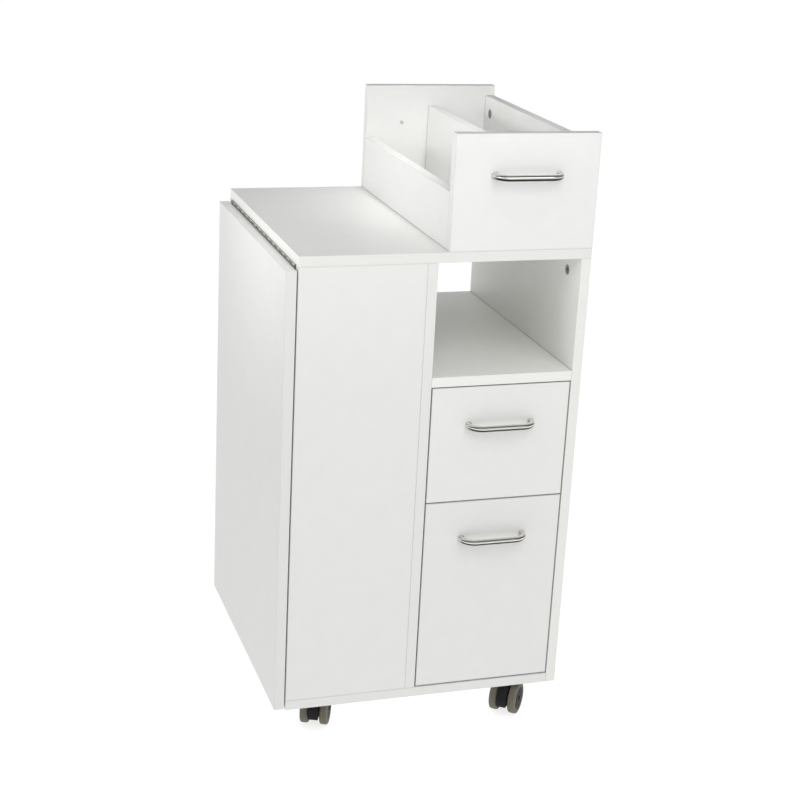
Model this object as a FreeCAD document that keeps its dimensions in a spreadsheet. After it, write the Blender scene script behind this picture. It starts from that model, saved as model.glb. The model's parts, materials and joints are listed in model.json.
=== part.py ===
import FreeCAD, Part
import math
import os
import re

import Sketcher
from FreeCAD import Placement, Rotation, Vector

# Rolling pedestal cabinet with a drop leaf, an organiser box on top, an open bay and two drawers.
# Row frame: +X to the user's right, +Y to the back, +Z up, origin on the floor under the centre
# of the whole object's box (leaf hanging). Millimetres.

os.makedirs("parts", exist_ok=True)
doc = FreeCAD.newDocument("rolling_cabinet")

# ---------------------------------------------------------------- driving dimensions
DIMS = [
    ("orig_x", -206.5, "left edge of the tabletop"),
    ("orig_y", -208.0, "front face of the body"),
    ("orig_z", 748.0, "top face of the tabletop above the floor"),
    ("board", 15.0, "board thickness"),
    ("edge_round", 0.6, "rounding of the board edges"),
    ("top_w", 430.0, "tabletop width"),
    ("depth", 440.0, "body depth"),
    ("body_h", 690.0, "body height, casters left out"),
    ("divider_x", 185.0, "left face of the divider"),
    ("bay_w", 215.0, "clear width of the right-hand bay"),
    ("shelf_drop", 182.5, "top of the middle shelf below the tabletop's top"),
    ("side_shelf_set", 24.0, "side shelves set back from the leaf side"),
    ("side_shelf_a", 255.0, "top of the upper side shelf below the tabletop's top"),
    ("side_shelf_b", 465.0, "top of the lower side shelf below the tabletop's top"),
    ("box_x", 215.0, "left face of the organiser box"),
    ("box_end_hi", 165.0, "height of the box's front and back panels"),
    ("box_left_hi", 82.0, "height of the box's left side"),
    ("box_right_hi", 149.0, "height of the box's right side"),
    ("box_mid_hi", 132.5, "height of the box's divider"),
    ("box_mid_x", 318.0, "left face of the box's divider"),
    ("leaf_gap", 2.0, "leaf to body gap when hanging"),
    ("leaf_drop", 20.5, "top of the hanging leaf below the tabletop's top"),
    ("leaf_len", 667.5, "leaf length"),
    ("drawer_gap", 2.0, "gap round a drawer front"),
    ("front_a_top", 199.0, "top of the upper drawer front below the tabletop's top"),
    ("front_a_hi", 175.5, "height of the upper drawer front"),
    ("front_b_top", 376.5, "top of the lower drawer front below the tabletop's top"),
    ("front_b_hi", 296.0, "height of the lower drawer front"),
    ("side_t", 12.0, "drawer side thickness"),
    ("side_len", 360.0, "drawer side length"),
    ("side_a_hi", 118.0, "upper drawer side height"),
    ("side_b_hi", 220.0, "lower drawer side height"),
    ("side_lift", 14.0, "drawer side above the front's bottom edge"),
    ("rail_gap", 12.7, "clear width for one slide"),
    ("floor_t", 3.0, "drawer bottom thickness"),
    ("floor_lift", 8.0, "drawer bottom above the side's bottom edge"),
    ("groove_deep", 5.0, "groove depth in the drawer sides"),
    ("rail_len", 350.0, "slide length"),
    ("rail_set", 17.0, "slide set back from the front"),
    ("rail_outer_hi", 45.0, "outer member height"),
    ("rail_mid_hi", 37.0, "middle member height"),
    ("rail_inner_hi", 30.0, "inner member height"),
    ("rail_wall", 1.2, "slide sheet thickness"),
    ("grip_pitch", 96.0, "handle hole centres"),
    ("grip_out", 19.5, "handle bar centre off the panel"),
    ("grip_bend", 18.2, "handle bend radius at the bar's centre line"),
    ("grip_rod", 4.5, "handle bar radius"),
    ("grip_foot", 5.2, "handle foot radius"),
    ("grip_drop", 58.5, "handle below its panel's top edge"),
    ("grip_bolt", 2.0, "handle screw hole radius in the handle"),
    ("grip_clear", 2.4, "handle screw clearance hole radius in the panel"),
    ("cam_rad", 7.5, "cam bore radius"),
    ("cam_deep", 12.5, "cam bore depth"),
    ("cam_set", 28.0, "cam centre from the board's end"),
    ("cam_set_box", 23.0, "cam centre from the end on the box sides"),
    ("cam_mid", 7.5, "cam bolt axis below the board's face"),
    ("cam_rod_bore", 4.0, "cam bolt hole radius in the edge"),
    ("cam_stud_bore", 2.5, "cam bolt thread hole radius"),
    ("cam_stud_deep", 11.0, "cam bolt thread hole depth"),
    ("dowel_bore", 4.0, "dowel hole radius"),
    ("dowel_in_edge", 16.0, "dowel hole depth in the edge"),
    ("dowel_in_face", 11.0, "dowel hole depth in the face"),
    ("hinge_front", 16.0, "hinge front end behind the front edge"),
    ("knuckle_len", 14.6, "hinge knuckle pitch"),
    ("knuckle_gap", 0.3, "gap between knuckles"),
    ("knuckle_rad", 2.0, "hinge barrel radius"),
    ("hinge_pin_rad", 0.95, "hinge pin radius"),
    ("hinge_bore", 1.0, "hinge barrel bore radius"),
    ("hinge_plate", 1.0, "hinge plate thickness"),
    ("hinge_wide", 13.0, "hinge plate width from the pin"),
    ("stay_x", 8.0, "support frame plane behind the leaf-side edges"),
    ("stay_drop", 250.0, "support frame pivot below the tabletop's top"),
    ("stay_len", 400.0, "support frame arm length"),
    ("stay_rod", 4.0, "support frame rod radius"),
    ("stay_bend", 22.0, "support frame corner radius"),
    ("stay_in", 7.0, "arm centre line inside the front and back panels"),
    ("stay_pin", 3.0, "support pivot pin radius"),
    ("stay_bore", 3.06, "support eye bore radius"),
    ("plate_side", 42.0, "caster plate side"),
    ("plate_t", 2.5, "caster plate thickness"),
    ("caster_x", 56.0, "caster swivel axis from the body's side"),
    ("caster_y", 42.0, "caster swivel axis from the body's front and back"),
    ("caster_hi", 58.0, "caster height"),
    ("trail", 17.0, "caster trail"),
    ("wheel_rad", 25.0, "wheel radius"),
    ("wheel_w", 12.5, "wheel width"),
    ("wheel_pitch", 30.0, "wheel centre spacing on the axle"),
    ("axle_rad", 3.0, "axle radius"),
    ("axle_bore", 3.05, "axle bore radius"),
    ("kingpin_rad", 4.0, "kingpin radius"),
    ("kingpin_bore", 4.06, "kingpin bore radius"),
    ("hood_rad", 28.5, "hood outer radius"),
    ("hood_wall", 2.0, "hood wall"),
    ("hood_half", 20.0, "half the hood's width"),
    ("web_half", 7.6, "half the hood web's width"),
    ("swivel_fl", -24.0, "front left caster heading at rest, degrees"),
    ("swivel_fr", 141.0, "front right caster heading at rest, degrees"),
    ("swivel_bl", 158.0, "back left caster heading at rest, degrees"),
    ("swivel_br", 205.0, "back right caster heading at rest, degrees"),
]
sheet = doc.addObject("Spreadsheet::Sheet", "Dims")
sheet.Label = "Dims"
VALUE = {}
for row, (alias, value, words) in enumerate(DIMS, start=1):
    sheet.set(f"A{row}", words)
    sheet.set(f"B{row}", repr(value))
    sheet.setAlias(f"B{row}", alias)
    VALUE[alias] = value
doc.recompute()


class _Named:
    pass


d = _Named()
for _k, _v in VALUE.items():
    setattr(d, _k, float(getattr(sheet, _k)))


def ex(text):
    """Spreadsheet expression for a formula written with plain dimension names."""
    return re.sub(r"[a-z][a-z_]*", lambda m: "Dims." + m.group(0) if m.group(0) in VALUE else m.group(0), str(text))


def num(text):
    """Value of such a formula: + - * / and brackets."""
    toks = re.findall(r"[a-z][a-z_]*|\d+\.?\d*|[-+*/()]", str(text))
    pos = [0]

    def factor():
        t = toks[pos[0]]
        pos[0] += 1
        if t == "(":
            v = total()
            pos[0] += 1
            return v
        if t == "-":
            return -factor()
        return VALUE[t] if t in VALUE else float(t)

    def product():
        v = factor()
        while pos[0] < len(toks) and toks[pos[0]] in "*/":
            op = toks[pos[0]]
            pos[0] += 1
            w = factor()
            v = v * w if op == "*" else v / w
        return v

    def total():
        v = product()
        while pos[0] < len(toks) and toks[pos[0]] in "+-":
            op = toks[pos[0]]
            pos[0] += 1
            w = product()
            v = v + w if op == "+" else v - w
        return v

    return total()


NODES = []
POS = {}
AX = {"x": 0, "y": 1, "z": 2}
PLANE = {"x": "YZ_Plane", "y": "XZ_Plane", "z": "XY_Plane"}
UV = {"x": ("y", "z"), "y": ("x", "z"), "z": ("x", "y")}
NORMAL = {"x": 1, "y": -1, "z": 1}


def keep(obj, label):
    obj.Label = label
    NODES.append(obj)
    return obj


def place(obj, pos, rot=None):
    if rot is not None:
        obj.Placement = Placement(Vector(0, 0, 0), rot)
    for k, p in zip("xyz", pos):
        obj.setExpression("Placement.Base." + k, ex(p))


def origin_plane(body, role):
    return [f for f in body.Origin.OriginFeatures if f.Role == role][0]


def new_sketch(body, axis, offset="0"):
    """Sketch on the body's origin plane across an axis, moved along that axis by offset."""
    sk = body.newObject("Sketcher::SketchObject", "Sketch")
    sk.AttachmentSupport = [(origin_plane(body, PLANE[axis]), "")]
    sk.MapMode = "FlatFace"
    if str(offset) != "0":
        sign = "" if NORMAL[axis] > 0 else "-"
        sk.AttachmentOffset = Placement(Vector(0, 0, NORMAL[axis] * num(offset)), Rotation())
        sk.setExpression("AttachmentOffset.Base.z", ex(f"{sign}({offset})"))
    return sk


def dim(sk, kind, geo_args, text):
    """One driving constraint, bound to the sheet. A negative distance is turned round."""
    v = num(text)
    if kind in ("DistanceX", "DistanceY") and v < 0:
        g = geo_args
        geo_args = (g[2], g[3], g[0], g[1])
        v, text = -v, f"-({text})"
    i = sk.addConstraint(Sketcher.Constraint(kind, *geo_args, v))
    sk.setExpression(f"Constraints[{i}]", ex(text))


def rect(sk, u, v, a, b):
    """Rectangle with its low corner at (u, v) and sides a by b."""
    x0, y0, x1, y1 = num(u), num(v), num(u) + num(a), num(v) + num(b)
    p = [Vector(x0, y0), Vector(x1, y0), Vector(x1, y1), Vector(x0, y1)]
    n = sk.GeometryCount
    for i in range(4):
        sk.addGeometry(Part.LineSegment(p[i], p[(i + 1) % 4]), False)
    for i in range(4):
        sk.addConstraint(Sketcher.Constraint("Coincident", n + i, 2, n + (i + 1) % 4, 1))
    for i in (0, 2):
        sk.addConstraint(Sketcher.Constraint("Horizontal", n + i))
        sk.addConstraint(Sketcher.Constraint("Vertical", n + i + 1))
    dim(sk, "DistanceX", (n, 1, n, 2), a)
    dim(sk, "DistanceY", (n + 1, 1, n + 1, 2), b)
    anchor(sk, n, 1, u, v)


def anchor(sk, geo, point, u, v):
    """Ties a sketch point to the origin at (u, v)."""
    for kind, text in (("DistanceX", u), ("DistanceY", v)):
        if abs(num(text)) < 1e-9:
            sk.addConstraint(Sketcher.Constraint("PointOnObject", geo, point, -2 if kind == "DistanceX" else -1))
        else:
            dim(sk, kind, (-1, 1, geo, point), text)


def circle(sk, u, v, radius):
    n = sk.addGeometry(Part.Circle(Vector(num(u), num(v), 0), Vector(0, 0, 1), num(radius)), False)
    dim(sk, "Radius", (n,), radius)
    anchor(sk, n, 3, u, v)
    return n


def pad(body, sk, length, axis, toward=1, midplane=False):
    f = body.newObject("PartDesign::Pad", "Pad")
    f.Profile = (sk, [""])
    f.Length = num(length)
    f.setExpression("Length", ex(length))
    if midplane:
        f.Midplane = True
    else:
        f.Reversed = toward != NORMAL[axis]
    sk.Visibility = False
    return f


def pocket(body, sk, length, axis, toward):
    f = body.newObject("PartDesign::Pocket", "Pocket")
    f.Profile = (sk, [""])
    f.Length = num(length)
    f.setExpression("Length", ex(length))
    f.Reversed = toward == NORMAL[axis]
    POCKETS.append(f)
    return f


POCKETS = []
DRILLS = {}


def board(name, axis, a, b, thick, pos, round_by="edge_round"):
    """A board lying across an axis: a by b, its low corner at pos."""
    body = doc.addObject("PartDesign::Body", "Body_" + name)
    sk = new_sketch(body, axis)
    rect(sk, "0", "0", a, b)
    p = pad(body, sk, thick, axis, 1)
    doc.recompute()
    fl = body.newObject("PartDesign::Fillet", "Fillet")
    fl.Base = (p, ["Edge1"])
    fl.UseAllEdges = True
    fl.Radius = num(round_by)
    fl.setExpression("Radius", ex(round_by))
    place(body, pos)
    POS[name] = pos
    DRILLS[name] = []
    keep(body, name)
    return body


def drill(name, axis, at, points, radius, deep, toward):
    """Round holes in a board, from the plane 'at' across an axis, going toward +1 or -1 along it."""
    DRILLS[name].append((axis, at, points, radius, deep, toward))


def do_drills():
    bodies = {b.Label: b for b in NODES}
    merged = {}
    for name, rows in DRILLS.items():
        for axis, at, points, radius, deep, toward in rows:
            merged.setdefault((name, axis, at, radius, deep, toward), []).extend(points)
    for (name, axis, at, radius, deep, toward), points in merged.items():
        pos = POS[name]
        body = bodies[name]
        sk = new_sketch(body, axis, f"{at} - ({pos[AX[axis]]})")
        u, v = UV[axis]
        for pu, pv in points:
            circle(sk, f"{pu} - ({pos[AX[u]]})", f"{pv} - ({pos[AX[v]]})", radius)
        pocket(body, sk, deep, axis, toward)


# ---------------------------------------------------------------- the boards of the body
LX, FY, TZ = "orig_x", "orig_y", "orig_z"
BOT = "orig_z - body_h"
BAYX = "orig_x + divider_x + board"
RX = "orig_x + top_w - board"

board("tabletop", "z", "top_w", "depth", "board", (LX, FY, "orig_z - board"))
board("bottom_board", "z", "top_w - board", "depth", "board", (LX, FY, BOT))
board("right_side_panel", "x", "depth", "body_h - board", "board", (RX, FY, BOT))
board("divider_panel", "x", "depth", "body_h - 2*board", "board", ("orig_x + divider_x", FY, BOT + " + board"))
board("left_front_panel", "y", "divider_x", "body_h - 2*board", "board", (LX, FY, BOT + " + board"))
board("left_back_panel", "y", "divider_x", "body_h - 2*board", "board", (LX, "orig_y + depth - board", BOT + " + board"))
board("middle_shelf", "z", "bay_w", "depth", "board", (BAYX, FY, "orig_z - shelf_drop - board"))
board("drawer_bay_back", "y", "bay_w", "body_h - shelf_drop - 2*board", "board",
      (BAYX, "orig_y + depth - board", BOT + " + board"))
board("box_front_panel", "y", "bay_w", "box_end_hi", "board", ("orig_x + box_x", FY, TZ))
board("box_back_panel", "y", "bay_w", "box_end_hi", "board", ("orig_x + box_x", "orig_y + depth - board", TZ))
board("box_left_side", "x", "depth - 2*board", "box_left_hi", "board", ("orig_x + box_x", "orig_y + board", TZ))
board("box_right_side", "x", "depth - 2*board", "box_right_hi", "board", (RX, "orig_y + board", TZ))
board("box_divider", "x", "depth - 2*board", "box_mid_hi", "board", ("orig_x + box_mid_x", "orig_y + board", TZ))
board("upper_side_shelf", "z", "divider_x - side_shelf_set", "depth - 2*board", "board",
      ("orig_x + side_shelf_set", "orig_y + board", "orig_z - side_shelf_a - board"))
board("lower_side_shelf", "z", "divider_x - side_shelf_set", "depth - 2*board", "board",
      ("orig_x + side_shelf_set", "orig_y + board", "orig_z - side_shelf_b - board"))
board("leaf_panel", "x", "depth", "leaf_len", "board",
      ("orig_x - leaf_gap - board", FY, "orig_z - leaf_drop - leaf_len"))

# ---------------------------------------------------------------- cam fittings and dowels
CAMS, BOLTS, DOWELS = [], [], []


def vec(axes):
    v = [0.0, 0.0, 0.0]
    for k, t in axes.items():
        v[AX[k]] = num(t)
    return Vector(*v)


def unit(axis, sign):
    v = [0.0, 0.0, 0.0]
    v[AX[axis]] = float(sign)
    return Vector(*v)


def cam_joint(a, b, face, edge, along, setback="cam_set"):
    """Cams in board a's face pull it end-on against board b.
    face = (axis, coordinate, direction of the material); edge = (axis, coordinate, direction from a to b)."""
    fa, fc, fs = face
    ea, ec, es = edge
    other = [k for k in "xyz" if k not in (fa, ea)][0]
    sgn = "-" if es > 0 else "+"
    msgn = "+" if fs > 0 else "-"
    for t in along:
        c = {fa: fc, ea: f"{ec} {sgn} {setback}", other: t}
        drill(a, fa, fc, [(c[UV[fa][0]], c[UV[fa][1]])], "cam_rad", "cam_deep", fs)
        e = {fa: f"{fc} {msgn} cam_mid", ea: ec, other: t}
        uv = [(e[UV[ea][0]], e[UV[ea][1]])]
        drill(a, ea, ec, uv, "cam_rod_bore", setback, -es)
        drill(b, ea, ec, uv, "cam_stud_bore", "cam_stud_deep", es)
        CAMS.append((vec(c), unit(fa, fs), unit(ea, es)))
        BOLTS.append((vec(e), unit(ea, es), num(setback)))


def dowel_joint(a, b, edge, points):
    """Dowels from board a's end into board b's face; points are (u, v) on the plane of the joint."""
    ea, ec, es = edge
    drill(a, ea, ec, points, "dowel_bore", "dowel_in_edge", -es)
    drill(b, ea, ec, points, "dowel_bore", "dowel_in_face", es)
    for u, v in points:
        DOWELS.append((vec({ea: ec, UV[ea][0]: u, UV[ea][1]: v}), unit(ea, es)))


Y1, Y2 = "orig_y + 47", "orig_y + depth - 47"
UNDER = "orig_z - board"
FLOOR = BOT + " + board"
DIVL, DIVR = "orig_x + divider_x", BAYX
cam_joint("right_side_panel", "tabletop", ("x", RX, 1), ("z", UNDER, 1), [Y1, Y2])
cam_joint("divider_panel", "tabletop", ("x", DIVL, 1), ("z", UNDER, 1), [Y1, Y2])
cam_joint("divider_panel", "bottom_board", ("x", DIVL, 1), ("z", FLOOR, -1), [Y1, Y2])
for side, fc, fs in (("left_front_panel", "orig_y + board", -1), ("left_back_panel", "orig_y + depth - board", 1)):
    cam_joint(side, "tabletop", ("y", fc, fs), ("z", UNDER, 1), ["orig_x + 45", "orig_x + 140"])
    cam_joint(side, "bottom_board", ("y", fc, fs), ("z", FLOOR, -1), ["orig_x + 45", "orig_x + 140"])
cam_joint("bottom_board", "right_side_panel", ("z", BOT, 1), ("x", RX, 1), ["orig_y + 120", "orig_y + depth - 120"])
SHB = "orig_z - shelf_drop - board"
for es, ec, wall in ((1, RX, "right_side_panel"), (-1, DIVR, "divider_panel")):
    cam_joint("middle_shelf", wall, ("z", SHB, 1), ("x", ec, es), ["orig_y + 60", "orig_y + depth - 60"])
FB, BB = "orig_y + board", "orig_y + depth - board"
for es, ec, wall in ((1, BB, "box_back_panel"), (-1, FB, "box_front_panel")):
    cam_joint("box_right_side", wall, ("x", RX, 1), ("y", ec, es), ["orig_z + 123"], "cam_set_box")
    cam_joint("box_left_side", wall, ("x", "orig_x + box_x + board", -1), ("y", ec, es), ["orig_z + 41"], "cam_set_box")
    dowel_joint("box_divider", wall, ("y", ec, es), [("orig_x + box_mid_x + 7.5", "orig_z + 40"),
                                                     ("orig_x + box_mid_x + 7.5", "orig_z + 95")])
    dowel_joint("box_right_side", wall, ("y", ec, es), [("orig_x + top_w - 7.5", "orig_z + 50")])
for wall, y in (("box_left_side", "orig_x + box_x + 7.5"), ("box_right_side", "orig_x + top_w - 7.5"),
                ("box_divider", "orig_x + box_mid_x + 7.5")):
    dowel_joint(wall, "tabletop", ("z", TZ, -1), [(y, "orig_y + 130"), (y, "orig_y + 310")])
dowel_joint("right_side_panel", "tabletop", ("z", UNDER, 1), [("orig_x + top_w - 7.5", "orig_y + 90"),
                                                             ("orig_x + top_w - 7.5", "orig_y + 350")])
for shelf, drop in (("upper_side_shelf", "side_shelf_a"), ("lower_side_shelf", "side_shelf_b")):
    z = f"orig_z - {drop} - 7.5"
    dowel_joint(shelf, "left_front_panel", ("y", FB, -1), [("orig_x + 60", z), ("orig_x + 150", z)])
    dowel_joint(shelf, "left_back_panel", ("y", BB, 1), [("orig_x + 60", z), ("orig_x + 150", z)])
for z in ("orig_z - 240", "orig_z - 620"):
    dowel_joint("drawer_bay_back", "divider_panel", ("x", DIVR, -1), [("orig_y + depth - 7.5", z)])
    dowel_joint("drawer_bay_back", "right_side_panel", ("x", RX, 1), [("orig_y + depth - 7.5", z)])

# Small screw in the back panel of the box, over the middle of the left compartment.
SCREW_AT = ("orig_x + 274", "orig_z + 106")
drill("box_back_panel", "y", BB, [SCREW_AT], "1.5", "11", 1)

# ---------------------------------------------------------------- drawers
GRIP_MID = "orig_x + divider_x + board + bay_w/2"
DRAWERS = {}
for key, top, hi, side_hi in (("upper", "front_a_top", "front_a_hi", "side_a_hi"), ("lower", "front_b_top", "front_b_hi", "side_b_hi")):
    ftop = f"orig_z - {top}"
    fbot = f"{ftop} - {hi}"
    zs = f"{fbot} + side_lift"
    xl = BAYX + " + rail_gap"
    inner = "bay_w - 2*rail_gap - 2*side_t"
    board(f"{key}_drawer_front", "y", "bay_w - 2*drawer_gap", hi, "board", (BAYX + " + drawer_gap", FY, fbot))
    for tag, x in (("left", xl), ("right", "orig_x + top_w - board - rail_gap - side_t")):
        b = board(f"{key}_drawer_{tag}_side", "x", "side_len", side_hi, "side_t", (x, FB, zs), "edge_round/2")
        # groove for the bottom, on the inner face
        sk = new_sketch(b, "x", "side_t" if tag == "left" else "0")
        rect(sk, "-1", "floor_lift", "side_len + 2", "floor_t + 0.2")
        pocket(b, sk, "groove_deep", "x", -1 if tag == "left" else 1)
    board(f"{key}_drawer_back", "y", inner, f"{side_hi} - floor_lift - floor_t - 0.4", "side_t",
          (xl + " + side_t", "orig_y + board + side_len - side_t", f"{zs} + floor_lift + floor_t + 0.4"), "edge_round/2")
    board(f"{key}_drawer_bottom", "z", f"{inner} + 2*groove_deep - 0.4", "side_len", "floor_t",
          (xl + " + side_t - groove_deep + 0.2", FB, f"{zs} + floor_lift + 0.1"), "0.2")
    DRAWERS[key] = (ftop, fbot, zs, side_hi)
    for s in ("-", "+"):
        drill(f"{key}_drawer_front", "y", FB, [(f"{GRIP_MID} {s} grip_pitch/2", f"{ftop} - grip_drop")], "grip_clear", "board", -1)
for s in ("-", "+"):
    drill("box_front_panel", "y", FB, [(f"orig_x + box_x + bay_w/2 {s} grip_pitch/2", "orig_z + box_end_hi - grip_drop")],
          "grip_clear", "board", -1)


def handle(name, xm, zc):
    """Bow handle: a round bar on two feet, 96 mm between the screw holes."""
    body = doc.addObject("PartDesign::Body", "Body_" + name)
    half, out, r = num("grip_pitch/2"), d.grip_out, d.grip_bend
    path = new_sketch(body, "z")
    k = math.sqrt(0.5)
    p0, p1, p2 = Vector(-half, 0), Vector(-half, -out + r), Vector(-half + r, -out)
    p3, p4, p5 = Vector(half - r, -out), Vector(half, -out + r), Vector(half, 0)
    m1 = Vector(-half + r - r * k, -out + r - r * k)
    m2 = Vector(half - r + r * k, -out + r - r * k)
    for g in (Part.LineSegment(p0, p1), Part.Arc(p1, m1, p2), Part.LineSegment(p2, p3), Part.Arc(p3, m2, p4), Part.LineSegment(p4, p5)):
        path.addGeometry(g, False)
    path.addConstraint(Sketcher.Constraint("Vertical", 0))
    path.addConstraint(Sketcher.Constraint("Horizontal", 2))
    path.addConstraint(Sketcher.Constraint("Vertical", 4))
    # a line's end meets the arc tangentially; each arc's end is found by its place
    arcs = {1: (p1, p2), 3: (p3, p4)}
    for gi, (pa, pb) in arcs.items():
        first = 1 if path.getPoint(gi, 1).sub(pa).Length < 1e-6 else 2
        path.addConstraint(Sketcher.Constraint("Tangent", gi - 1, 2, gi, first))
        path.addConstraint(Sketcher.Constraint("Tangent", gi + 1, 1, gi, 3 - first))
        dim(path, "Radius", (gi,), "grip_bend")
    anchor(path, 0, 1, "-grip_pitch/2", "0")
    anchor(path, 4, 2, "grip_pitch/2", "0")
    dim(path, "DistanceY", (2, 1, -1, 1), "grip_out")
    prof = new_sketch(body, "y")
    circle(prof, "-grip_pitch/2", "0", "grip_rod")
    doc.recompute()
    pipe = body.newObject("PartDesign::AdditivePipe", "Pipe")
    pipe.Profile = (prof, [""])
    pipe.Spine = (path, [""])
    foot = new_sketch(body, "y")
    for s in ("-", ""):
        circle(foot, f"{s}grip_pitch/2", "0", "grip_foot")
    pad(body, foot, "2", "y", -1)
    holes = new_sketch(body, "y")
    for s in ("-", ""):
        circle(holes, f"{s}grip_pitch/2", "0", "grip_bolt")
    pocket(body, holes, "10", "y", -1)
    place(body, (xm, FY, zc))
    keep(body, name)


handle("box_handle", "orig_x + box_x + bay_w/2", "orig_z + box_end_hi - grip_drop")
for key in ("upper", "lower"):
    handle(f"{key}_drawer_handle", GRIP_MID, f"{DRAWERS[key][0]} - grip_drop")


# ---------------------------------------------------------------- drawer slides
def channel(name, axis_sign, x_web, x_lip, high):
    """One slide member: a C of sheet metal, its web at x_web and its flanges reaching x_lip (local x)."""
    body = doc.addObject("PartDesign::Body", "Body_" + name)
    sk = new_sketch(body, "y")
    lo, hi = (x_web, x_lip) if axis_sign > 0 else (x_lip, x_web)
    rect(sk, lo, f"-({high})/2", f"{hi} - ({lo})", high)
    doc.recompute()
    pad(body, sk, "rail_len", "y", 1)
    cut = new_sketch(body, "y")
    if axis_sign > 0:
        rect(cut, f"{x_web} + rail_wall", f"-({high})/2 + rail_wall", f"{x_lip} - ({x_web})", f"{high} - 2*rail_wall")
    else:
        rect(cut, f"{x_lip} - 1", f"-({high})/2 + rail_wall", f"{x_web} - rail_wall - ({x_lip}) + 1", f"{high} - 2*rail_wall")
    pocket(body, cut, "rail_len", "y", 1)
    return body


def pair(name, bodies):
    c = doc.addObject("Part::Compound", "Pair_" + name)
    c.Links = bodies
    keep(c, name)
    return c


SLIDE_Z = {k: f"{DRAWERS[k][2]} + ({DRAWERS[k][3]})/2 - 6" for k in DRAWERS}
outer = []
for key in ("upper", "lower"):
    z = SLIDE_Z[key]
    y = "orig_y + rail_set"
    mids, inners = [], []
    for tag, sign, base in (("l", 1, BAYX), ("r", -1, RX)):
        s = "" if sign > 0 else "-"
        o = channel(f"{key}_outer_{tag}", sign, "0", f"{s}8.6", "rail_outer_hi")
        m = channel(f"{key}_mid_{tag}", sign, f"{s}2.4", f"{s}10.2", "rail_mid_hi")
        i = channel(f"{key}_inner_{tag}", -sign, f"{s}rail_gap", f"{s}4.2", "rail_inner_hi")
        for b in (o, m, i):
            place(b, (base, y, z))
        outer.append(o)
        mids.append(m)
        inners.append(i)
    pair(f"{key}_slide_middle_members", mids)
    pair(f"{key}_slide_drawer_members", inners)
pair("slide_cabinet_members", outer)


# ---------------------------------------------------------------- drop-leaf hinge
N_KNUCKLES = 28
PIN_Z = "orig_z - board - knuckle_rad"
SCREW_Y = [28.0 + 50.0 * i for i in range(8)]


def hinge_half(name, first, fixed):
    """One half of the continuous hinge: a plate tangent to the barrel and every second knuckle."""
    body = doc.addObject("PartDesign::Body", "Body_" + name)
    sk = new_sketch(body, "y")
    # outline across the pin: the plate runs along +x under the tabletop, or down -z on the leaf
    if fixed:
        rect(sk, "0", "knuckle_rad - hinge_plate", "hinge_wide", "hinge_plate")
    else:
        rect(sk, "-knuckle_rad", "-hinge_wide", "hinge_plate", "hinge_wide")
    doc.recompute()
    pad(body, sk, f"knuckle_len*{N_KNUCKLES}", "y", 1)
    # strips of the plate's root are cut away where the other half's knuckles sit
    cut = new_sketch(body, "z" if fixed else "x")
    for i in range(N_KNUCKLES):
        if i % 2 != first:
            y0 = f"knuckle_len*{i} - knuckle_gap"
            ln = "knuckle_len + 2*knuckle_gap"
            if fixed:
                rect(cut, "-1", y0, "knuckle_rad + 1.4", ln)
            else:
                rect(cut, y0, "-knuckle_rad - 0.4", ln, "knuckle_rad + 1.4")
    pocket(body, cut, "6", "z" if fixed else "x", 1 if fixed else -1)
    doc.recompute()
    for i in range(N_KNUCKLES):
        if i % 2 == first:
            barrel = new_sketch(body, "y", f"knuckle_len*{i} + knuckle_gap/2")
            circle(barrel, "0", "0", "knuckle_rad")
            pad(body, barrel, "knuckle_len - knuckle_gap", "y", 1)
    bore = new_sketch(body, "y", "-1")
    circle(bore, "0", "0", "hinge_bore")
    pocket(body, bore, f"knuckle_len*{N_KNUCKLES} + 2", "y", 1)
    holes = new_sketch(body, "z" if fixed else "x")
    for yy in SCREW_Y:
        if fixed:
            circle(holes, "hinge_wide - 5", f"{yy} - 16 + 6", "1.6")
        else:
            circle(holes, f"{yy} - 16 + 6", "-hinge_wide + 5", "1.6")
    pocket(body, holes, "6", "z" if fixed else "x", 1 if fixed else -1)
    place(body, (LX, "orig_y + hinge_front", PIN_Z))
    keep(body, name)


hinge_half("hinge_fixed_leaf", 0, True)
hinge_half("hinge_moving_leaf", 1, False)
pin = doc.addObject("Part::Cylinder", "HingePin")
pin.setExpression("Radius", ex("hinge_pin_rad"))
pin.setExpression("Height", ex(f"knuckle_len*{N_KNUCKLES}"))
place(pin, (LX, "orig_y + hinge_front", PIN_Z), Rotation(Vector(1, 0, 0), -90))
keep(pin, "hinge_pin")
for yy in SCREW_Y:
    drill("tabletop", "z", "orig_z - board", [("orig_x + hinge_wide - 5", f"orig_y + {yy} + 6")], "1.3", "10.5", 1)
    drill("leaf_panel", "x", "orig_x - leaf_gap", [(f"orig_y + {yy} + 6", PIN_Z + " - hinge_wide + 5")], "1.3", "10.5", -1)

# ---------------------------------------------------------------- leaf support: swing-out frame, brackets, catches
frame = doc.addObject("PartDesign::Body", "Body_support_frame")
span = num("depth - 2*board - 2*stay_in")
ln, rr = d.stay_len, d.stay_bend
k = math.sqrt(0.5)
path = new_sketch(frame, "x")
q = [Vector(0, 0), Vector(0, -ln + rr), Vector(rr, -ln), Vector(span - rr, -ln), Vector(span, -ln + rr), Vector(span, 0)]
mid = [Vector(rr - rr * k, -ln + rr - rr * k), Vector(span - rr + rr * k, -ln + rr - rr * k)]
for g in (Part.LineSegment(q[0], q[1]), Part.Arc(q[1], mid[0], q[2]), Part.LineSegment(q[2], q[3]), Part.Arc(q[3], mid[1], q[4]),
          Part.LineSegment(q[4], q[5])):
    path.addGeometry(g, False)
path.addConstraint(Sketcher.Constraint("Vertical", 0))
path.addConstraint(Sketcher.Constraint("Horizontal", 2))
path.addConstraint(Sketcher.Constraint("Vertical", 4))
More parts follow.
